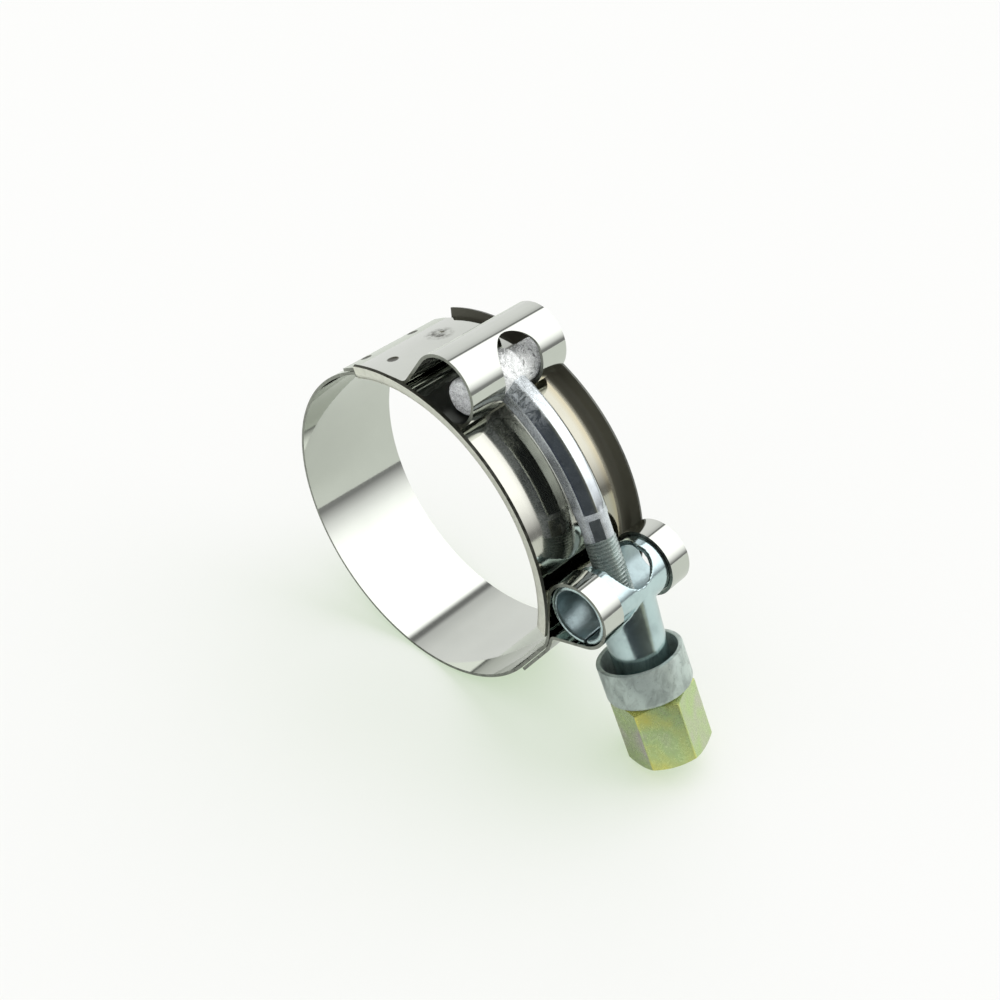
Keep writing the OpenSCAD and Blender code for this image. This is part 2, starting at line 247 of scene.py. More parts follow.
PLACE = (
    Matrix.Scale(MM, 4)
    @ Matrix.Rotation(math.radians(90), 4, "X")
    @ turned(REST_TURN)
    @ moved(RING_CENTRE)
)
TURN_POINT = polar(SHANK_CURVE, SHANK_TURN)
BOLT_LINE = PLACE @ moved(TURN_POINT) @ turned(SHANK_TURN - 90)


class ClampSizes(bpy.types.PropertyGroup):
    """Sizes of the drawn pieces."""

    strip_width: bpy.props.FloatProperty(
        name="Strip width", description="Width of the strip", default=24 * MM, unit="LENGTH"
    )
    strip_gauge: bpy.props.FloatProperty(
        name="Strip gauge", description="Thickness of the strip", default=0.65 * MM, unit="LENGTH"
    )
    ear_gap: bpy.props.FloatProperty(
        name="Ear gap", description="Width of the cut between the two ears", default=14 * MM, unit="LENGTH"
    )
    bridge_gauge: bpy.props.FloatProperty(
        name="Bridge gauge", description="Thickness of the bridge's sheet", default=0.6 * MM, unit="LENGTH"
    )
    weld_diameter: bpy.props.FloatProperty(
        name="Weld diameter", description="Diameter of a spot weld's dish", default=2.4 * MM, unit="LENGTH"
    )
    weld_depth: bpy.props.FloatProperty(
        name="Weld depth", description="Depth of a spot weld's dish", default=0.2 * MM, unit="LENGTH"
    )
    head_diameter: bpy.props.FloatProperty(
        name="Head diameter", description="Diameter of the bolt's cross head", default=7 * MM, unit="LENGTH"
    )
    thread_diameter: bpy.props.FloatProperty(
        name="Thread diameter", description="Outer diameter of the thread", default=6 * MM, unit="LENGTH"
    )
    thread_pitch: bpy.props.FloatProperty(
        name="Thread pitch", description="Rise of the thread in one turn", default=0.75 * MM, unit="LENGTH"
    )


def colour(name, description, value):
    return bpy.props.FloatVectorProperty(
        name=name, description=description, default=value, size=3, min=0.0, max=1.0, subtype="COLOR"
    )


class ClampColours(bpy.types.PropertyGroup):
    """Colours of the finishes."""

    steel: colour("Strip steel", "Polished steel of the strip", (0.60, 0.62, 0.575))
    bridge: colour("Bridge steel", "Bright steel of the bridge", (0.60, 0.60, 0.54))
    straw: colour("Straw tint", "Warm tint along the bridge's bends", (0.55, 0.50, 0.36))
    olive: colour("Dull lip", "Unpolished far lip of the bridge", (0.085, 0.082, 0.06))
    heat: colour("Weld heat", "Heat mark round a spot weld", (0.085, 0.085, 0.07))
    edge: colour("Cut edge", "Sheared edge of the sheet", (0.26, 0.27, 0.24))
    bolt: colour("Bolt zinc", "Bright zinc of the bolt", (0.68, 0.73, 0.76))
    thread: colour("Thread zinc", "Duller zinc of the thread", (0.46, 0.53, 0.51))
    forging: colour("Forged zinc", "Rough zinc of the head and its root", (0.97, 0.99, 0.99))
    sleeve: colour("Sleeve zinc", "Bluish zinc of the sleeve", (0.54, 0.67, 0.69))
    cup: colour("Cup zinc", "Dull zinc of the cup", (0.43, 0.5, 0.465))
    chromate: colour("Chromate", "Yellow film of the nut", (0.71, 0.67, 0.17))
    chromate_green: colour("Green chromate", "Green patches of that film", (0.48, 0.61, 0.29))
    chromate_rose: colour("Rose chromate", "Rose and grey patches of that film", (0.54, 0.52, 0.46))
    floor: colour("Floor", "Pale paper under the clamp", (0.58, 0.6, 0.57))


def sizes():
    return bpy.context.scene.clamp_sizes


def colours():
    return bpy.context.scene.clamp_colours


# Shape helpers


def carry(bm, rail, centre=Vector((0, 0)), degrees=0.0, step=2.0, shift=None):
    """Sweeps the rail's edges about a centre of the ring's plane, or along a shift."""
    steps = max(1, math.ceil(abs(degrees) / step))
    result = bmesh.ops.spin(
        bm,
        geom=rail,
        cent=(centre.x, centre.y, 0),
        axis=(0, 0, 1),
        dvec=(0, 0, 0) if shift is None else (shift.x, shift.y, 0),
        angle=math.radians(degrees),
        steps=steps,
        use_merge=False,
        use_duplicate=False,
    )
    return result["geom_last"]


def chain(bm, points):
    """Open chain of edges through points."""
    verts = [bm.verts.new(p) for p in points]
    edges = [bm.edges.new(pair) for pair in zip(verts, verts[1:])]
    return verts + edges


def loft(bm, stations):
    """Tube through rings of points, closed at both ends."""
    ring = [bm.verts.new(p) for p in stations[0]]
    edges = [bm.edges.new((ring[i - 1], ring[i])) for i in range(len(ring))]
    bmesh.ops.contextual_create(bm, geom=edges)
    for points in stations[1:]:
        made = bmesh.ops.extrude_edge_only(bm, edges=edges)["geom"]
        edges = [e for e in made if isinstance(e, bmesh.types.BMEdge) and not any(v in ring for v in e.verts)]
        index = {ring[i]: i for i in range(len(ring))}
        fresh = [None] * len(ring)
        for v in {v for e in edges for v in e.verts}:
            old = next(e.other_vert(v) for e in v.link_edges if e.other_vert(v) in index)
            fresh[index[old]] = v
        for v, p in zip(fresh, points):
            v.co = p
        ring = fresh
    bmesh.ops.contextual_create(bm, geom=edges)


def lathe(bm, profile, steps=96):
    """Turns a profile of (along X, radius) once round the X axis."""
    rail = chain(bm, [(u, r, 0) for u, r in profile])
    bmesh.ops.spin(
        bm, geom=rail, cent=(0, 0, 0), axis=(1, 0, 0), dvec=(0, 0, 0), angle=math.tau,
        steps=steps, use_merge=True, use_duplicate=False,
    )
    bmesh.ops.remove_doubles(bm, verts=bm.verts, dist=1e-5)


def finished(bm, name, matrix, modifiers=None, sharp=35.0, slots=1):
    """Object at the origin whose mesh is the drawn shape, with its modifiers applied, in place."""
    bmesh.ops.recalc_face_normals(bm, faces=bm.faces)
    draft = bpy.data.objects.new(name + "_draft", bpy.data.meshes.new(name + "_draft"))
    bm.to_mesh(draft.data)
    bm.free()
    for _ in range(slots):
        draft.data.materials.append(None)
    bpy.context.scene.collection.objects.link(draft)
    if modifiers:
        modifiers(draft)
    graph = bpy.context.evaluated_depsgraph_get()
    mesh = bpy.data.meshes.new_from_object(draft.evaluated_get(graph))
    bpy.data.objects.remove(draft)
    mesh.name = name
    mesh.transform(matrix)
    mesh.shade_smooth()
    mesh.set_sharp_from_angle(angle=math.radians(sharp))
    piece = bpy.data.objects.new(name, mesh)
    bpy.context.scene.collection.objects.link(piece)
    return piece


def dress(piece, node, *materials):
    """Gives a piece its finishes and body, and puts it in the place of its CAD node."""
    while len(piece.data.materials) < len(materials):
        piece.data.materials.append(None)
    for index, material in enumerate(materials):
        piece.data.materials[index] = material
    body = next(name for name, nodes in frame["record"]["behaviour"]["bodies"].items() if node in nodes)
    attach(piece, body)
    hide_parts(node)


def cutter(draft, name, build, matrix, slot=1):
    """Boolean cut of a draft by a shape that is drawn and then removed."""
    bm = bmesh.new()
    build(bm)
    bm.transform(matrix)
    bmesh.ops.recalc_face_normals(bm, faces=bm.faces)
    for face in bm.faces:
        face.material_index = slot
    tool = bpy.data.objects.new(name, bpy.data.meshes.new(name))
    bm.to_mesh(tool.data)
    bm.free()
    for _ in range(2):
        tool.data.materials.append(None)
    bpy.context.scene.collection.objects.link(tool)
    cut = draft.modifiers.new(name, "BOOLEAN")
    cut.operation = "DIFFERENCE"
    cut.solver = "EXACT"
    cut.object = tool
    return tool


def thicken(draft, thickness):
    """Gives a drawn sheet its thickness, with the cut edge in the second slot."""
    thick = draft.modifiers.new("gauge", "SOLIDIFY")
    thick.thickness = thickness
    thick.offset = 0
    thick.use_even_offset = True
    thick.material_offset_rim = 1


def merged_copy(node):
    """Copy of a CAD node's mesh with its corners joined."""
    bm = bmesh.new()
    bm.from_mesh(frame["nodes"][node].data)
    bmesh.ops.remove_doubles(bm, verts=bm.verts, dist=1e-7)
    return bm


# Finishes


class Wiring:
    """Short ways to wire the nodes of a tree."""

    def __init__(self, tree):
        self.tree = tree

    def add(self, kind, **settings):
        node = self.tree.nodes.new(kind)
        for key, value in settings.items():
            setattr(node, key, value)
        return node

    def link(self, out, into):
        self.tree.links.new(out, into)

    def feed(self, value, socket):
        if isinstance(value, bpy.types.NodeSocket):
            self.link(value, socket)
        elif isinstance(value, (tuple, list)):
            socket.default_value = (*value[:3], 1)
        else:
            socket.default_value = value

    def maths(self, operation, a, b):
        node = self.add("ShaderNodeMath", operation=operation)
        self.feed(a, node.inputs[0])
        self.feed(b, node.inputs[1])
        return node.outputs[0]

    def spread(self, value, low, high, start=0.3, end=0.7):
        node = self.add("ShaderNodeMapRange")
        for key, number in (("From Min", start), ("From Max", end), ("To Min", low), ("To Max", high)):
            node.inputs[key].default_value = number
        self.link(value, node.inputs["Value"])
        return node.outputs["Result"]

    def blend(self, factor, first, second, mode="MIX"):
        node = self.add("ShaderNodeMix", data_type="RGBA", blend_type=mode)
        self.feed(factor, node.inputs[0])
        self.feed(first, node.inputs[6])
        self.feed(second, node.inputs[7])
        return node.outputs[2]

    def ramp_outputs(self, value, stops):
        """Colour and alpha at places of a 0 to 1 value."""
        node = self.add("ShaderNodeValToRGB")
        points = node.color_ramp.elements
        while len(points) < len(stops):
            points.new(0.5)
        for point, (at, shade) in zip(points, stops):
            point.position = at
            point.color = (*shade, 1) if len(shade) == 3 else shade
        self.link(value, node.inputs["Fac"])
        return node.outputs["Color"], node.outputs["Alpha"]

    def ramp(self, value, *stops):
        """Colours at places of a 0 to 1 value."""
        return self.ramp_outputs(value, stops)[0]


class Finish(Wiring):
    """A material that is metal unless its shader is set otherwise."""

    def __init__(self, name, base, roughness):
        self.material = bpy.data.materials.new(name)
        self.material.use_nodes = True
        super().__init__(self.material.node_tree)
        self.shader = self.tree.nodes["Principled BSDF"]
        self.shader.inputs["Metallic"].default_value = 1.0
        self.shader.inputs["Base Color"].default_value = (*base, 1)
        self.shader.inputs["Roughness"].default_value = roughness
        self.place = self.add("ShaderNodeTexCoord").outputs["Object"]

    def scaled(self, factors):
        mapping = self.add("ShaderNodeMapping")
        mapping.inputs["Scale"].default_value = factors
        self.link(self.place, mapping.inputs["Vector"])
        return mapping.outputs["Vector"]

    def grain(self, scale, detail=4.0, rough=0.55, stretch=None, distortion=0.0):
        """Noise over the piece, in lumps per metre."""
        node = self.add("ShaderNodeTexNoise")
        node.inputs["Scale"].default_value = scale
        node.inputs["Detail"].default_value = detail
        node.inputs["Roughness"].default_value = rough
        node.inputs["Distortion"].default_value = distortion
        self.link(self.scaled(stretch) if stretch else self.place, node.inputs["Vector"])
        return node.outputs["Fac"]

    def across(self):
        """Place along the ring's axis."""
        node = self.add("ShaderNodeSeparateXYZ")
        self.link(self.place, node.inputs[0])
        return node.outputs["Y"]

    def from_line(self, point, inner, outer):
        """1 within a distance of a line through a point along the ring's axis, falling to 0."""
        flat = self.add("ShaderNodeVectorMath", operation="MULTIPLY")
        flat.inputs[1].default_value = (1, 0, 1)
        self.link(self.place, flat.inputs[0])
        node = self.add("ShaderNodeVectorMath", operation="DISTANCE")
        node.inputs[1].default_value = (point.x, 0, point.z)
        self.link(flat.outputs[0], node.inputs[0])
        return self.spread(node.outputs["Value"], 1.0, 0.0, inner, outer)

    def near(self, point, inner, outer):
        """1 within a distance of a point in the frame, falling to 0."""
        node = self.add("ShaderNodeVectorMath", operation="DISTANCE")
        node.inputs[1].default_value = point
        self.link(self.place, node.inputs[0])
        return self.spread(node.outputs["Value"], 1.0, 0.0, inner, outer)

    def bump(self, height, strength, distance):
        node = self.add("ShaderNodeBump")
        node.inputs["Strength"].default_value = strength
        node.inputs["Distance"].default_value = distance
        self.link(height, node.inputs["Height"])
        before = self.shader.inputs["Normal"]
        if before.is_linked:
            self.link(before.links[0].from_socket, node.inputs["Normal"])
        self.link(node.outputs["Normal"], before)

    def paint(self, shade):
        self.link(shade, self.shader.inputs["Base Color"])

    def gloss(self, value):
        self.link(value, self.shader.inputs["Roughness"])


def shade_of(base, factor):
    """Lighter or darker colour."""
    return tuple(min(1.0, c * factor) for c in base)


def weld_points():
    """Middles of the spot welds in the frame."""
    outer = BAND_INNER + 2 * (sizes().strip_gauge / MM) + TAIL_GAP
    return [PLACE @ Vector((*polar(outer, a), side)) for a in WELD_ANGLES for side in WELD_SIDES]


def strip_steel():
    """Mirror strip with fine rolling lines along it, burnt spot welds, and painted shade inside the bolt's
    loop.
    """
    base = tuple(colours().steel)
    finish = Finish("polished_strip", base, 0.06)
    lines = finish.grain(1.0, 3.0, 0.6, (25, 5200, 25))
    cloud = finish.grain(55, 3.0)
    shade = finish.ramp(cloud, (0.3, shade_of(base, 0.96)), (0.7, shade_of(base, 1.04)))
    smudged, *others = weld_points()
    blotch = finish.spread(finish.grain(750, 5.0, 0.7), 0.1, 1.0, 0.38, 0.58)
    inner, outer = WELD_SMUDGE
    marks = finish.maths("MULTIPLY", finish.near(smudged, inner * MM, outer * MM), blotch)
    inner, outer = WELD_HEAT
    for point in others:
        marks = finish.maths("MAXIMUM", marks, finish.near(point, inner * MM, outer * MM))
    # Painted shade: the strip is darkened inside the bolt's loop
    loop = PLACE @ Vector((*polar(BOLT_LOOP_DISTANCE, BOLT_LOOP_ANGLE), 0))
    inside = finish.from_line(loop, (BOLT_LOOP_RADIUS - 0.2) * MM, BOLT_LOOP_RADIUS * MM)
    shade = finish.blend(inside, shade, shade_of(base, 0.3))
    finish.paint(finish.blend(marks, shade, tuple(colours().heat)))
    dull = finish.maths("MULTIPLY", finish.maths("MAXIMUM", marks, inside), 0.25)
    finish.gloss(finish.maths("ADD", finish.spread(lines, 0.03, 0.08), dull))
    finish.bump(lines, 0.04, 0.00002)
    return finish.material


def cut_edge(name, factor=1.0):
    """Sheared edge of a sheet, streaked across its thickness."""
    base = shade_of(tuple(colours().edge), factor)
    finish = Finish(name, base, 0.35)
    streaks = finish.grain(900, 3.0, 0.6)
    finish.paint(finish.ramp(streaks, (0.3, shade_of(base, 0.7)), (0.7, shade_of(base, 1.4))))
    finish.gloss(finish.spread(streaks, 0.25, 0.5))
    return finish.material


def bridge_steel():
    """Bright sheet with scuffed lips and a straw tint along the far bend, with painted shade under the shank
    and on the far side, and a painted highlight on the near lip.
    """
    base = tuple(colours().bridge)
    finish = Finish("bright_bridge", base, 0.1)
    lines = finish.grain(1.0, 3.0, 0.6, (30, 4200, 30))
    cloud = finish.grain(90, 4.0)
    scuff = finish.grain(700, 5.0, 0.7)
    shade = finish.ramp(cloud, (0.3, shade_of(base, 0.93)), (0.7, shade_of(base, 1.05)))
    across = finish.across()

    def zone(limits, low, high):
        return finish.spread(across, low, high, limits[0] * MM, limits[1] * MM)

    far_bend = finish.maths("MULTIPLY", zone(STRAW_FROM, 0, 0.7), zone(FAR_LIP_FROM, 1, 0))
    far_lip = zone(FAR_LIP_FROM, 0, 1)
    near_lip = zone(NEAR_LIP_FROM, 0, 1)
    wear = finish.maths("MULTIPLY", near_lip, finish.spread(scuff, 0.1, 0.7, 0.4, 0.65))
    # Painted shade on the channel under the shank
    shaded = finish.maths("MULTIPLY", zone(SHADED_FROM, 0, 1), zone(SHADED_TO, 1, 0))
    shade = finish.blend(shaded, shade, shade_of(base, 0.75))
    shade = finish.blend(far_bend, shade, tuple(colours().straw))
    # Painted shade: the far side of the channel is darkened
    shade = finish.blend(zone(FAR_SIDE_SHADE_FROM, 0, 0.8), shade, FAR_SIDE_SHADE_COLOUR, "MULTIPLY")
    shade = finish.blend(far_lip, shade, tuple(colours().olive))
    # Painted highlight: the near lip is lightened past the steel's own colour, with real scuffs on top
    shade = finish.blend(near_lip, shade, shade_of(base, 1.4))
    finish.paint(finish.blend(wear, shade, shade_of(base, 1.1)))
    finish.link(finish.spread(far_lip, 1.0, 0.25, 0, 1), finish.shader.inputs["Metallic"])
    dull = finish.maths("MULTIPLY", finish.maths("MAXIMUM", near_lip, far_lip), 0.3)
    finish.gloss(finish.maths("ADD", finish.spread(lines, 0.05, 0.12), dull))
    finish.bump(lines, 0.05, 0.00002)
    return finish.material


def zinc(name, base, smooth, rough, mottle, depth):
    """Plated metal: clouded colour, fine pits and uneven gloss."""
    finish = Finish(name, base, smooth)
    cloud = finish.grain(mottle, 5.0, 0.6)
    fine = finish.grain(mottle * 7, 4.0, 0.6)
    finish.paint(finish.ramp(cloud, (0.3, shade_of(base, 0.8)), (0.5, base), (0.72, shade_of(base, 1.12))))
    finish.gloss(finish.spread(fine, smooth, rough))
    finish.bump(fine, depth, 0.00005)
    return finish


def root_centre():
    """Middle of the bolt's root in the frame."""
    return PLACE @ Vector((*polar(SHANK_CURVE + ROOT_RISE, HEAD_ANGLE), ROOT_SHIFT))


def bolt_zinc():
    """Bright zinc, scarred where the shank comes out of its root."""
    finish = zinc("bolt_zinc", tuple(colours().bolt), 0.1, 0.22, 260, 0.06)
    scars = finish.grain(1100, 6.0, 0.75, distortion=1.0)
    reach = finish.near(root_centre(), 5 * MM, 14 * MM)
    finish.bump(finish.maths("MULTIPLY", scars, reach), 0.7, 0.0004)
    skin = finish.spread(finish.grain(600, 6.0, 0.7, distortion=1.5), 0.0, 0.5, 0.42, 0.56)
    skin = finish.maths("MULTIPLY", skin, finish.maths("ADD", reach, 0.01))
    finish.link(finish.spread(skin, 1.0, 0.0, 0, 1), finish.shader.inputs["Metallic"])
    return finish.material


def thread_zinc():
    """Duller zinc in the rolled thread."""
    finish = zinc("thread_zinc", tuple(colours().thread), 0.22, 0.38, 500, 0.15)
    finish.shader.inputs["Metallic"].default_value = 0.76
    return finish.material


def side_zinc():
    """Matt zinc on the shank's sides and its collar."""
    finish = zinc("side_zinc", shade_of(tuple(colours().bolt), 0.8), 0.2, 0.34, 300, 0.06)
    streaks = finish.grain(150, 3.0, 0.5, distortion=0.6)
    finish.link(finish.spread(streaks, 0.35, 0.8, 0.35, 0.6), finish.shader.inputs["Metallic"])
    return finish.material


def root_zinc():
    """Bright zinc over a rough forging."""
    finish = zinc("scarred_zinc", tuple(colours().forging), 0.18, 0.38, 420, 0.2)
    finish.shader.inputs["Metallic"].default_value = 0.28
    flakes = finish.grain(640, 4.0, 0.6, distortion=1.4)
    finish.bump(flakes, 1.0, 0.0009)
    base = tuple(colours().forging)
    finish.paint(finish.ramp(flakes, (0.33, shade_of(base, 0.2)), (0.38, shade_of(base, 0.85)), (0.43, base)))
    return finish.material


def sleeve_zinc():
    """Smooth zinc outside the sleeve."""
    return zinc("sleeve_zinc", tuple(colours().sleeve), 0.1, 0.2, 240, 0.06).material


def hollow_zinc():
    """Duller zinc inside the barrel."""
    return zinc("hollow_zinc", shade_of(tuple(colours().sleeve), 0.72), 0.28, 0.42, 420, 0.5).material


def punched_zinc():
    """Dark wall of the punched entry."""
    return zinc("punched_zinc", shade_of(tuple(colours().sleeve), 0.42), 0.3, 0.45, 600, 0.3).material


def cup_zinc():
    """Dull zinc with stains and scratches along the bolt."""
    base = tuple(colours().cup)
    finish = zinc("cup_zinc", base, 0.26, 0.44, 330, 0.25)
    finish.shader.inputs["Metallic"].default_value = 0.48
    stain = finish.spread(finish.grain(420, 6.0, 0.7, (1, 1, 0.5), 0.8), 0.0, 0.65, 0.48, 0.64)
    clouded = finish.shader.inputs["Base Color"].links[0].from_socket
    finish.paint(finish.blend(stain, clouded, shade_of(base, 0.5)))
    return finish.material


def nut_chromate():
    """Film that runs from yellow over green to rose from face to face, with clouds and specks."""
    film = colours()
    finish = Finish("yellow_chromate", tuple(film.chromate), 0.3)
    finish.shader.inputs["Metallic"].default_value = 0.8
    face = finish.add("ShaderNodeAttribute", attribute_name="film").outputs["Fac"]
    cloud = finish.spread(finish.grain(110, 3.0, 0.5, distortion=0.4), -0.28, 0.28)
    fine = finish.grain(1600, 5.0, 0.65)
    tone = finish.maths("ADD", face, cloud)
    shade = finish.ramp(
        tone,
        (0.0, tuple(film.chromate)),
        (0.4, tuple(film.chromate_green)),
        (0.75, tuple(film.chromate_rose)),
        (1.0, shade_of(tuple(film.chromate_rose), 0.85)),
    )
    specks = finish.spread(finish.grain(2300, 4.0, 0.6), 0.0, 0.3, 0.6, 0.75)
    finish.paint(finish.blend(specks, shade, shade_of(tuple(film.chromate_rose), 0.7)))
    finish.gloss(finish.spread(fine, 0.2, 0.4))
    finish.bump(fine, 0.1, 0.00005)
    return finish.material


# Pieces


class CLAMP_OT_band(bpy.types.Operator):
    """Strip bent to the ring and its two loops"""

    bl_idname = "clamp.band"
    bl_label = "Band"

    def execute(self, context):
        size = sizes()
        gauge = size.strip_gauge / MM
        half = size.strip_width / MM / 2
        ear = size.ear_gap / MM / 2
        band_mid = BAND_INNER + gauge / 2
        tail_mid = band_mid + gauge + TAIL_GAP
        origin = Vector((0, 0))

        loop_a = polar(BOLT_LOOP_DISTANCE, BOLT_LOOP_ANGLE)
        bend_turn = corner(BOLT_LOOP_DISTANCE, band_mid + BOLT_LOOP_BEND, BOLT_LOOP_RADIUS - BOLT_LOOP_BEND)
        bend_a = polar(band_mid + BOLT_LOOP_BEND, BOLT_LOOP_ANGLE - bend_turn)
        run = polar(1, BOLT_TAIL_LEAVE + 90)
        base = loop_a + (BOLT_LOOP_RADIUS + BOLT_TAIL_BEND) * polar(1, BOLT_TAIL_LEAVE)
        along = base.dot(run)
        tail_length = -along - math.sqrt(along**2 - base.dot(base) + (tail_mid + BOLT_TAIL_BEND) ** 2)
        tail_a = base + tail_length * run

        loop_b = polar(BARREL_DISTANCE, BARREL_ANGLE)
        pin_radius = BARREL_RADIUS + BARREL_CLEARANCE + gauge / 2
        rise = polar(1, RISE_HEADING)
        rise_point = loop_b + polar(pin_radius, RISE_HEADING + 90)
        knee = rise_point - KNEE_DROP * rise
        leave = angle_of(knee) - math.degrees(math.acos(band_mid / knee.length))
        knee_cut = PIN_BAND_BEND * math.tan(math.radians((RISE_HEADING - leave - 90) / 2))
        knee_start = knee - knee_cut * polar(1, leave + 90)
        knee_centre = knee_start - polar(PIN_BAND_BEND, leave)
        pin_step = polar(gauge + TAIL_GAP, leave)
        leg = polar(1, PIN_LEG_HEADING)
        leg_start = loop_b + polar(pin_radius, PIN_LEG_HEADING + 90)
        knee_tail = PIN_BAND_BEND + gauge + TAIL_GAP
        from_knee = leg_start + polar(PIN_TAIL_BEND, PIN_LEG_HEADING + 90) - knee_centre
        along = from_knee.dot(leg)
        square = along**2 - from_knee.dot(from_knee) + (knee_tail + PIN_TAIL_BEND) ** 2
        leg_length = -along - math.sqrt(square)
        pin_bend = knee_centre + from_knee + leg_length * leg
        ear_leg = STEM_FLARE / 2 + EAR_LEG_ROOM

        bm = bmesh.new()
        start = polar(tail_mid, BOLT_TAIL_END)
        rail = chain(bm, [(start.x, start.y, z) for z in (-half, -ear, ear, half)])
        rail = carry(bm, rail, origin, angle_of(tail_a) - BOLT_TAIL_END)
        rail = carry(bm, rail, tail_a, BOLT_TAIL_LEAVE - 180 - angle_of(-tail_a), 4)
        rail = carry(bm, rail, shift=-tail_length * run)
        rail = carry(bm, rail, loop_a, angle_of(bend_a - loop_a) - BOLT_TAIL_LEAVE, 3)
        rail = carry(bm, rail, bend_a, angle_of(bend_a) - 180 - angle_of(bend_a - loop_a), 4)
        rail = carry(bm, rail, origin, leave + 360 - angle_of(bend_a), 1.5)
        rail = carry(bm, rail, shift=knee_start - polar(band_mid, leave))
        rail = carry(bm, rail, knee_centre, RISE_HEADING - 90 - leave, 3)
        rail = carry(bm, rail, shift=rise_point - knee - knee_cut * rise)
        rail = carry(bm, rail, loop_b, EAR_TO - RISE_HEADING - 90, 3)
        before = set(bm.faces)
        rail = carry(bm, rail, loop_b, PIN_LEG_HEADING - 270 - EAR_TO, 3)
        rail = carry(bm, rail, shift=ear_leg * leg)
        cut = [f for f in bm.faces if f not in before and abs(f.calc_center_median().z) < ear * 0.9]
        rail = carry(bm, rail, shift=(leg_length - ear_leg) * leg)
        swing = (angle_of(knee_centre - pin_bend) - (PIN_LEG_HEADING - 90)) % 360
        rail = carry(bm, rail, pin_bend, swing, 6)
        rail = carry(bm, rail, knee_centre, leave - angle_of(pin_bend - knee_centre), 3)
        rail = carry(bm, rail, shift=polar(tail_mid, leave) - knee_start - pin_step)
        carry(bm, rail, origin, -PIN_TAIL_WRAP)
        bmesh.ops.delete(bm, geom=cut, context="FACES")

        hole = HOLE_WIDTH / 2
        reach = (BOLT_LOOP_RADIUS + gauge / 2) * math.sin(math.radians(HOLE_FROM - HOLE_AIM))
        aim = moved(loop_a, HOLE_OFFSET) @ turned(HOLE_AIM)
        tools = []

        def round_end(shape):
            bmesh.ops.create_cone(
                shape, cap_ends=True, segments=72, radius1=hole, radius2=hole, depth=HOLE_DEPTH,
                matrix=Matrix.Translation((HOLE_DEPTH / 2, reach - hole, 0))
                @ Matrix.Rotation(math.radians(90), 4, "Y"),
            )

        def slot_run(shape):
            span = reach - hole - HOLE_LOW
            bmesh.ops.create_cube(
                shape, size=1,
                matrix=Matrix.Translation((HOLE_DEPTH / 2, HOLE_LOW + span / 2, 0))
                @ Matrix.Diagonal((HOLE_DEPTH, span, 2 * hole, 1)),
            )

        def slot_foot(shape):
            bmesh.ops.create_cube(
                shape, size=1,
                matrix=Matrix.Translation((SHANK_CURVE - HOLE_ROOM, -HOLE_DEPTH / 2, HOLE_OFFSET))
                @ Matrix.Diagonal((2 * SHANK_FLAT, HOLE_DEPTH, 2 * hole + FOOT_EASE, 1)),
            )

        def dishes(shape):
            rim = size.weld_diameter / MM / 2
            deep = size.weld_depth / MM
            ball = (rim * rim + deep * deep) / (2 * deep)
            top = tail_mid + gauge / 2 - deep + ball
            facing = Matrix.Rotation(math.radians(90), 4, "Y")
            for a in WELD_ANGLES:
                for side in WELD_SIDES:
                    bmesh.ops.create_uvsphere(
                        shape, u_segments=96, v_segments=64, radius=ball,
                        matrix=moved(polar(top, a), side) @ turned(a) @ facing,
                    )

        def finish_strip(draft):
            thicken(draft, gauge - GAUGE_TRIM)
            tools.append(cutter(draft, "hole_round", round_end, aim))
            tools.append(cutter(draft, "hole_run", slot_run, aim))
            tools.append(cutter(draft, "hole_foot", slot_foot, turned(HEAD_ANGLE)))
            tools.append(cutter(draft, "weld_dish", dishes, Matrix.Identity(4), 0))
            context.view_layer.update()

        piece = finished(bm, "band_strip", PLACE, finish_strip, sharp=14, slots=2)
        for tool in tools:
            bpy.data.objects.remove(tool)
        dress(piece, "band", strip_steel(), cut_edge("strip_edge"))
        return {"FINISHED"}


class CLAMP_OT_bridge(bpy.types.Operator):
    """Channel under the gap, with its turned lips"""

    bl_idname = "clamp.bridge"
    bl_label = "Bridge"

    def execute(self, context):
        gauge = sizes().bridge_gauge / MM
        middle = BRIDGE_INNER + gauge / 2
        bend_at = BRIDGE_INNER + gauge + LIP_BEND
        bend = LIP_BEND + gauge / 2
        lip = []
        last = 180 - LIP_ANGLE
        tip = polar(bend, last) + LIP_LENGTH * polar(1, last - 90)
        lip.append((bend_at + tip.x, LIP_START + tip.y))
        for k in range(9):
            p = polar(bend, last + LIP_ANGLE * k / 8)
            lip.append((bend_at + p.x, LIP_START + p.y))
        points = lip + [(middle, 0.0)] + [(r, -z) for r, z in reversed(lip)]
        centre = polar(-BRIDGE_OFFSET, BRIDGE_MIDDLE)
        place = PLACE @ moved(centre) @ turned(BRIDGE_MIDDLE - BRIDGE_HALF_SPAN)

        bm = bmesh.new()
        rail = chain(bm, [(r, 0, z) for r, z in points])
        carry(bm, rail, degrees=2 * BRIDGE_HALF_SPAN, step=1.5)
        reach = lip[0][1] - LIP_START
        for v in bm.verts:
            share = (abs(v.co.z) - LIP_START) / reach
            if share > 0.01:
                foot, end = NEAR_LIP_TRIM if v.co.z > 0 else FAR_LIP_TRIM
                past = angle_of(v.co) - 2 * BRIDGE_HALF_SPAN + foot + (end - foot) * share
                if past > 0:
                    v.co = turned(-past) @ v.co
        bmesh.ops.remove_doubles(bm, verts=bm.verts, dist=1e-3)

        piece = finished(bm, "bridge_channel", place, lambda draft: thicken(draft, gauge), slots=2)
        dress(piece, "bridge", bridge_steel(), cut_edge("bridge_edge", 0.4))
        return {"FINISHED"}


def section(count, flat, rounding, sides, aim):
    """Radii round a bar whose rounded body is pressed flat on some sides."""
    radii = []
    for k in range(count):
        a = 360 * k / count
        off = (a - aim + 180 / sides) % (360 / sides) - 180 / sides
        radii.append(min(rounding, flat / math.cos(math.radians(off))))
    return radii


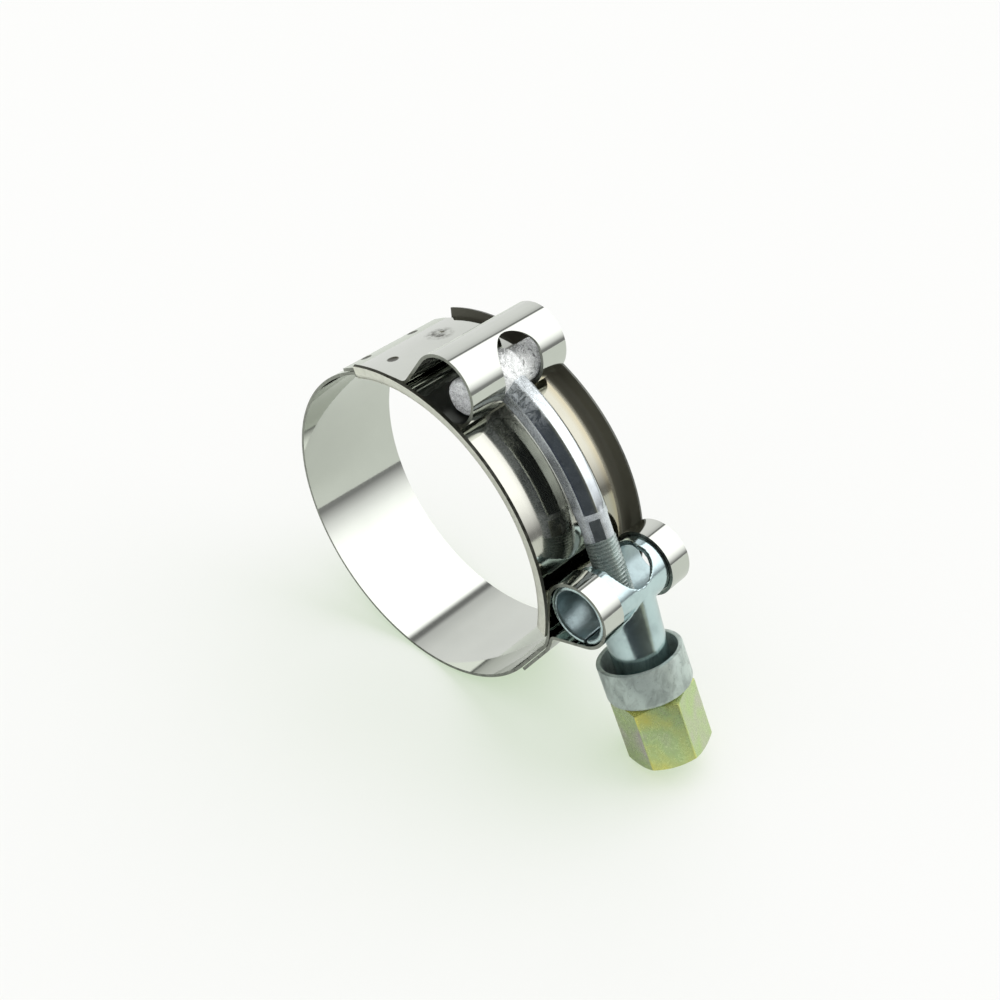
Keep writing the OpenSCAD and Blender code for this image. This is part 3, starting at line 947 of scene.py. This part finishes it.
def rounded_bar(tip, radius, rounding):
    """Outline of a turned bar with rounded ends, in points close enough to be roughened."""
    half = [(-tip, k * (radius - rounding) / 10) for k in range(10)]
    for k in range(11):
        p = polar(rounding, 180 - 9 * k)
        half.append((p.x - tip + rounding, p.y + radius - rounding))
    steps = math.ceil((tip - rounding) / 0.25)
    half += [(-(tip - rounding) * (1 - k / steps), radius) for k in range(1, steps)]
    return half + [(0, radius)] + [(-u, r) for u, r in reversed(half)]


def roughen(bm, fade, octaves, level, depth, low, high):
    """Shrinks a shape to a level and moves its skin by noise that is cut off at both ends."""
    for v in bm.verts:
        lump = noise.fractal(v.co * 0.7, fade, 2.0, octaves)
        v.co *= level + depth * max(low, min(high, lump))


class CLAMP_OT_bolt(bpy.types.Operator):
    """T-headed bolt with its curved shank and rolled thread"""

    bl_idname = "clamp.bolt"
    bl_label = "Bolt"

    def execute(self, context):
        size = sizes()
        count = 96
        shank = section(count, SHANK_FLAT, SHANK_ROUND, SHANK_SIDES, 0)
        neck = section(count, NECK_FLAT, NECK_ROUND, NECK_SIDES, NECK_AIM)
        crest = size.thread_diameter / MM / 2
        pitch = size.thread_pitch / MM

        def ring(frame_at, radii):
            points = []
            for k, r in enumerate(radii):
                p = polar(r, 360 * k / count)
                points.append(frame_at @ Vector((p.x, 0, p.y)))
            return points

        def on_curve(degrees):
            return turned(degrees) @ Matrix.Translation((SHANK_CURVE, 0, 0))

        def along(u):
            """Place at a length past the point where the curve runs into the straight."""
            if u < 0:
                return on_curve(SHANK_TURN - math.degrees(u / SHANK_CURVE))
            line = moved(TURN_POINT) @ turned(SHANK_TURN - 90) @ Matrix.Translation((u, 0, 0))
            return line @ turned(90)

        bm = bmesh.new()
        stations = []
        turns = 30
        shank_end = SHANK_TURN - math.degrees(COLLAR_START / SHANK_CURVE)
        for k in range(turns + 1):
            degrees = HEAD_ANGLE + (shank_end - HEAD_ANGLE) * k / turns
            stations.append(ring(on_curve(degrees), shank))
        collar = [COLLAR_RADIUS] * count
        for u, radii in (
            (COLLAR_START + COLLAR_RISE, collar),
            (NECK_START - NECK_STEP, collar),
            (NECK_START, neck),
            (NECK_END - NECK_STEP, neck),
            (NECK_END, [crest - CORE_DEPTHS[0]] * count),
            (NECK_END + CORE_RUN, [crest - CORE_DEPTHS[1]] * count),
        ):
            stations.append(ring(along(u), radii))
        loft(bm, stations)
        to_line = (moved(TURN_POINT) @ turned(SHANK_TURN - 90)).inverted()
        for face in bm.faces:
            middle = face.calc_center_median()
            u, out, side = to_line @ middle
            if angle_of(middle) > shank_end:
                turn = math.degrees(math.atan2(abs(side), middle.xy.length - SHANK_CURVE))
                matt = MATT_SIDES[0] < turn < MATT_SIDES[1]
            else:
                on_neck = NECK_START < u < NECK_END - NECK_STEP
                matt = not (on_neck and math.hypot(out, side) < NECK_ROUND - MATT_PLAY)
            face.material_index = 3 if matt else 0

        thread = bmesh.new()
        depth = THREAD_DEPTH * pitch
        profile = [(u, crest) for u in THREAD_CREST]
        profile = [(0, crest - depth), *profile, (THREAD_FOOT, crest - depth), (1.0, crest - depth)]
        rail = chain(thread, [(NECK_END - THREAD_RUN_IN + u * pitch, r, 0) for u, r in profile])
        rounds = int((THREAD_LAST - NECK_END - THREAD_RUN_IN) / pitch)
        steps = 40
        bmesh.ops.spin(
            thread, geom=rail, cent=(0, 0, 0), axis=(1, 0, 0), dvec=(pitch / steps, 0, 0),
            angle=math.tau * rounds, steps=steps * rounds, use_merge=False, use_duplicate=False,
        )
        bmesh.ops.remove_doubles(thread, verts=thread.verts, dist=1e-4)
        bmesh.ops.holes_fill(thread, edges=[e for e in thread.edges if e.is_boundary], sides=0)
        thread.transform(moved(TURN_POINT) @ turned(SHANK_TURN - 90))

        head = bmesh.new()
        radius = size.head_diameter / MM / 2
        lathe(head, rounded_bar(HEAD_LENGTH / 2, radius, HEAD_EDGE), 120)
        roughen(head, fade=0.9, octaves=6, level=0.99, depth=0.012, low=-1.5, high=0.5)
        head.transform(on_curve(HEAD_ANGLE) @ Matrix.Rotation(math.radians(90), 4, "Y"))

        root = bmesh.new()
        lathe(root, rounded_bar(ROOT_LENGTH / 2, ROOT_RADIUS, ROOT_EDGE), 120)
        roughen(root, fade=0.8, octaves=7, level=0.98, depth=0.05, low=-1.4, high=0.4)
        root.transform(
            turned(HEAD_ANGLE)
            @ Matrix.Translation((SHANK_CURVE + ROOT_RISE, 0, ROOT_SHIFT))
            @ Matrix.Rotation(math.radians(90), 4, "Y")
        )

        whole = bmesh.new()
        for part, index in ((thread, 1), (head, 2), (root, 2)):
            for face in part.faces:
                face.material_index = index
        for part in (bm, thread, head, root):
            bmesh.ops.recalc_face_normals(part, faces=part.faces)
            mesh = bpy.data.meshes.new("bolt_part")
            part.to_mesh(mesh)
            part.free()
            whole.from_mesh(mesh)
            bpy.data.meshes.remove(mesh)

        piece = finished(whole, "bolt_body", PLACE, sharp=24, slots=4)
        dress(piece, "t_bolt", bolt_zinc(), thread_zinc(), root_zinc(), side_zinc())
        return {"FINISHED"}


class CLAMP_OT_sleeve(bpy.types.Operator):
    """Hollow barrel and stem that the bolt runs through"""

    bl_idname = "clamp.sleeve"
    bl_label = "Sleeve"

    def execute(self, context):
        def soften(draft):
            skin = draft.modifiers.new("skin", "REMESH")
            skin.mode = "VOXEL"
            skin.voxel_size = SLEEVE_SKIN * MM
            relax = draft.modifiers.new("relax", "SMOOTH")
            relax.factor = 0.5
            relax.iterations = 5

        piece = finished(merged_copy("trunnion"), "sleeve_barrel", Matrix.Identity(4), soften, 60)
        dress(piece, "trunnion", sleeve_zinc(), hollow_zinc(), punched_zinc())
        axis = PLACE @ Vector((*polar(BARREL_DISTANCE, BARREL_ANGLE), 0))
        for face in piece.data.polygons:
            off = face.center - axis
            off.y = 0
            lean = face.normal.dot(off.normalized())
            in_hollow = off.length < (BARREL_RADIUS - BARREL_WALL + HOLLOW_PLAY) * MM
            in_wall = off.length < (BARREL_RADIUS - PUNCHED_PLAY) * MM
            if in_hollow and lean < HOLLOW_LEAN:
                face.material_index = 1
            elif in_wall and abs(lean) < PUNCHED_LEAN and abs(face.normal.y) < END_LEAN:
                face.material_index = 2
        return {"FINISHED"}


class CLAMP_OT_cup(bpy.types.Operator):
    """Round cap that takes the stem's end"""

    bl_idname = "clamp.cup"
    bl_label = "Cup"

    def execute(self, context):
        bm = bmesh.new()
        rim, floor = -CUP_HEIGHT, -CUP_FLOOR
        outer, inner = CUP_RADIUS, CUP_RADIUS - CUP_WALL
        profile = [(0, CUP_HOLE)]
        for k in range(9):
            p = polar(CUP_EDGE, 90 * k / 8)
            profile.append((-CUP_EDGE + p.x, outer - CUP_EDGE + p.y))
        far, half = RIM_ROUND
        profile += [(rim + far, outer), (rim + half, outer - half), (rim, outer - far)]
        profile += [(rim, inner + far), (rim + half, inner + half), (rim + far, inner)]
        far, half = FLOOR_ROUND
        profile += [(floor - far, inner), (floor - half, inner - half), (floor, inner - far)]
        profile += [(floor, CUP_HOLE), (0, CUP_HOLE)]
        lathe(bm, profile, 128)
        piece = finished(bm, "cup_cap", BOLT_LINE @ Matrix.Translation((CUP_BASE, 0, 0)), sharp=40)
        dress(piece, "cup", cup_zinc())
        return {"FINISHED"}


class CLAMP_OT_nut(bpy.types.Operator):
    """Tall hexagon nut with chamfered ends"""

    bl_idname = "clamp.nut"
    bl_label = "Nut"

    def execute(self, context):
        bm = merged_copy("nut")
        bmesh.ops.dissolve_limit(
            bm, angle_limit=math.radians(1), verts=bm.verts, edges=bm.edges, delimit={"NORMAL"}
        )
        axis = (BOLT_LINE.to_3x3() @ Vector((1, 0, 0))).normalized()
        out = (BOLT_LINE.to_3x3() @ Vector((0, 1, 0))).normalized()

        def is_flat(face):
            return abs(face.normal.dot(axis)) < 0.05 and face.calc_area() > 20 * MM * MM

        corners = [e for e in bm.edges if len(e.link_faces) == 2 and all(is_flat(f) for f in e.link_faces)]
        bmesh.ops.bevel(
            bm, geom=corners, offset=NUT_EDGE * MM, offset_type="OFFSET", affect="EDGES", segments=3,
            profile=0.5, material=-1, clamp_overlap=True,
        )
        film = bm.faces.layers.float.new("film")
        for face in bm.faces:
            if is_flat(face):
                turn = math.degrees(math.atan2(face.normal.dot(axis.cross(out)), face.normal.dot(out)))
                face[film] = FILM_OF_FACES[round((turn - NUT_TURN) / 60) % 6]
            else:
                face[film] = FILM_OF_EDGES
        piece = finished(bm, "nut_hexagon", Matrix.Identity(4), sharp=20)
        dress(piece, "nut", nut_chromate())
        return {"FINISHED"}


class CLAMP_OT_stage(bpy.types.Operator):
    """Pale floor, soft light and the camera"""

    bl_idname = "clamp.stage"
    bl_label = "Studio"

    def execute(self, context):
        scene = context.scene
        scene.view_settings.view_transform = "Standard"

        bm = bmesh.new()
        depth = (FLOOR_BACK - FLOOR_FRONT) / 2
        bmesh.ops.create_grid(
            bm, x_segments=1, y_segments=1, size=1,
            matrix=turned(FLOOR_TURN)
            @ Matrix.Translation((0, FLOOR_FRONT + depth, FLOOR_Z))
            @ Matrix.Diagonal((FLOOR_SIDE, depth, 1, 1)),
        )
        floor = bpy.data.objects.new("floor", bpy.data.meshes.new("floor"))
        bm.to_mesh(floor.data)
        bm.free()
        scene.collection.objects.link(floor)
        floor.data.materials.append(self.pale_paper())

        self.light_room(scene)

        camera = bpy.data.objects.new("camera", bpy.data.cameras.new("camera"))
        eye = Vector(CAMERA_EYE) * MM
        camera.matrix_world = Matrix(
            [[CAMERA_RIGHT[i], CAMERA_UP[i], CAMERA_BACK[i], eye[i]] for i in range(3)] + [[0, 0, 0, 1]]
        )
        camera.data.sensor_width = CAMERA_SENSOR
        camera.data.lens = CAMERA_LENS
        camera.data.clip_start = CAMERA_NEAR
        scene.collection.objects.link(camera)
        scene.camera = camera
        return {"FINISHED"}

    def pale_paper(self):
        """White paper that shows the camera a soft shadow on a bright ground."""
        paper = Finish("pale_paper", tuple(colours().floor), 1.0)
        paper.shader.inputs["Metallic"].default_value = 0.0
        paper.shader.inputs["Specular IOR Level"].default_value = 0.0
        path = paper.add("ShaderNodeLightPath")
        seen = path.outputs["Is Camera Ray"]
        base = tuple(colours().floor)
        fibre = paper.grain(1500, 3.0)
        sheet = paper.ramp(fibre, (0.3, shade_of(base, 0.985)), (0.7, base))
        paper.paint(paper.blend(seen, sheet, PAPER_SHARE))
        paper.shader.inputs["Emission Color"].default_value = (*PAPER_GLOW, 1)
        paper.link(seen, paper.shader.inputs["Emission Strength"])
        return paper.material

    def light_room(self, scene):
        """Bright wall to the right and above, plain wall to the left, dark room in front."""
        world = bpy.data.worlds.new("studio")
        scene.world = world
        world.use_nodes = True
        room = Wiring(world.node_tree)
        axes = room.add("ShaderNodeSeparateXYZ")
        room.link(room.add("ShaderNodeTexCoord").outputs["Generated"], axes.inputs[0])
        swing = room.maths("ARCTAN2", axes.outputs["X"], axes.outputs["Z"])
        share = room.spread(swing, 0, 1, -math.pi, math.pi)
        walls = room.ramp(share, *[((a + 180) / 360, (level, level, level)) for a, level in WALL_STOPS])
        depth = room.spread(axes.outputs["Y"], 0, 1, -1, 1)
        front, cover = room.ramp_outputs(depth, [((at + 1) / 2, shade) for at, shade in FRONT_STOPS])
        shade = room.blend(cover, walls, front)
        path = room.add("ShaderNodeLightPath")
        matt = room.maths("SUBTRACT", 1.0, path.outputs["Is Glossy Ray"])
        shade = room.blend(matt, shade, (ROOM_FILL, ROOM_FILL, ROOM_FILL), "ADD")
        shade = room.blend(path.outputs["Is Camera Ray"], shade, BACKDROP)
        room.link(shade, room.tree.nodes["Background"].inputs["Color"])


class CLAMP_PT_panel(bpy.types.Panel):
    """Pieces of the clamp"""

    bl_idname = "CLAMP_PT_panel"
    bl_label = "T-bolt clamp"
    bl_space_type = "VIEW_3D"
    bl_region_type = "UI"
    bl_category = "Clamp"

    def draw(self, context):
        for group in (context.scene.clamp_sizes, context.scene.clamp_colours):
            box = self.layout.box()
            for key in group.__annotations__:
                box.prop(group, key)
        for operator in OPERATORS:
            self.layout.operator(operator.bl_idname)


OPERATORS = (
    CLAMP_OT_stage,
    CLAMP_OT_band,
    CLAMP_OT_bridge,
    CLAMP_OT_bolt,
    CLAMP_OT_sleeve,
    CLAMP_OT_cup,
    CLAMP_OT_nut,
)
CLASSES = (ClampSizes, ClampColours, *OPERATORS, CLAMP_PT_panel)


def register():
    for cls in CLASSES:
        bpy.utils.register_class(cls)
    bpy.types.Scene.clamp_sizes = bpy.props.PointerProperty(type=ClampSizes)
    bpy.types.Scene.clamp_colours = bpy.props.PointerProperty(type=ClampColours)


def unregister():
    del bpy.types.Scene.clamp_colours
    del bpy.types.Scene.clamp_sizes
    for cls in reversed(CLASSES):
        bpy.utils.unregister_class(cls)


def main():
    register()
    bpy.ops.clamp.stage()
    bpy.ops.clamp.band()
    bpy.ops.clamp.bridge()
    bpy.ops.clamp.bolt()
    bpy.ops.clamp.sleeve()
    bpy.ops.clamp.cup()
    bpy.ops.clamp.nut()


if __name__ == "__main__":
    main()
